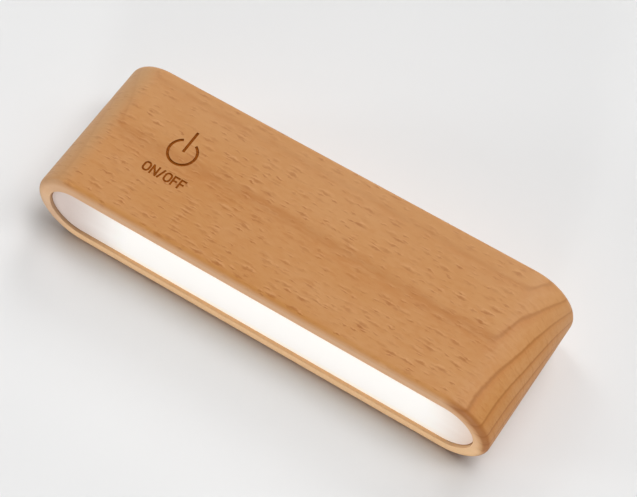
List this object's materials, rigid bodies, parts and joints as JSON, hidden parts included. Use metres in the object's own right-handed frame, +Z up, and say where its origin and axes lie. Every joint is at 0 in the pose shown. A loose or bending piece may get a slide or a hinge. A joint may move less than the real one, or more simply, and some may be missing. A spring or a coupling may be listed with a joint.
{
  "type": "reading lamp",
  "caption": "Small cordless reading lamp: a round-ended beech block with a burnt touch mark on top and a glowing opal diffuser in its front edge.",
  "frame": {"origin": "middle of the underside", "axes": "+X along the lamp towards its right end, -Y out of the lit front, +Z up out of the face with the touch mark"},
  "size_m": [0.2, 0.065, 0.038],
  "materials": {
    "beech": "oiled beech with fine flecks",
    "opal": "opal, lit from behind",
    "white_plastic": "smooth moulded",
    "white_board": "white solder mask",
    "light_chip": "phosphor gel",
    "grey_plastic": "fine moulded texture",
    "steel": "plated",
    "nickel": "nickel plated",
    "cell_sleeve": "shrink sleeve over a metal can",
    "foam": "open-cell foam",
    "red_lead": "insulated wire",
    "black_lead": "insulated wire",
    "green_board": "solder mask on glass laminate",
    "black_plastic": "moulded",
    "ferrite": "ferrite",
    "ceramic": "fired ceramic",
    "clear_plastic": "clear moulded"
  },
  "bodies": {
    "root": {"wood_body": "beech", "diffuser": "opal", "reflector_tray": "white_plastic", "led_board": "white_board", "led_01": "light_chip", "led_02": "light_chip", "led_03": "light_chip", "led_04": "light_chip", "led_05": "light_chip", "led_06": "light_chip", "led_07": "light_chip", "led_08": "light_chip", "led_09": "light_chip", "led_10": "light_chip", "led_11": "light_chip", "led_12": "light_chip", "led_13": "light_chip", "led_14": "light_chip", "carrier": "grey_plastic", "carrier_screw_left": "steel", "carrier_screw_right": "steel", "battery_cell": "cell_sleeve", "cell_tab_positive": "nickel", "cell_tab_negative": "nickel", "cell_pad": "foam", "battery_lead_red": "red_lead", "battery_lead_black": "black_lead", "battery_plug": "white_plastic", "battery_header": "white_plastic", "control_board": "green_board", "board_screw_front": "steel", "board_screw_back": "steel", "charge_socket": "steel", "socket_tongue": "black_plastic", "port_bezel": "grey_plastic", "touch_spring": "steel", "touch_chip": "black_plastic", "charge_chip": "black_plastic", "driver_chip": "black_plastic", "inductor": "ferrite", "input_capacitor": "ceramic", "output_capacitor": "ceramic", "charge_light": "clear_plastic", "light_pipe": "clear_plastic", "led_lead_red": "red_lead", "led_lead_black": "black_lead", "magnet_left": "nickel", "magnet_right": "nickel"}
  },
  "joints": []
}
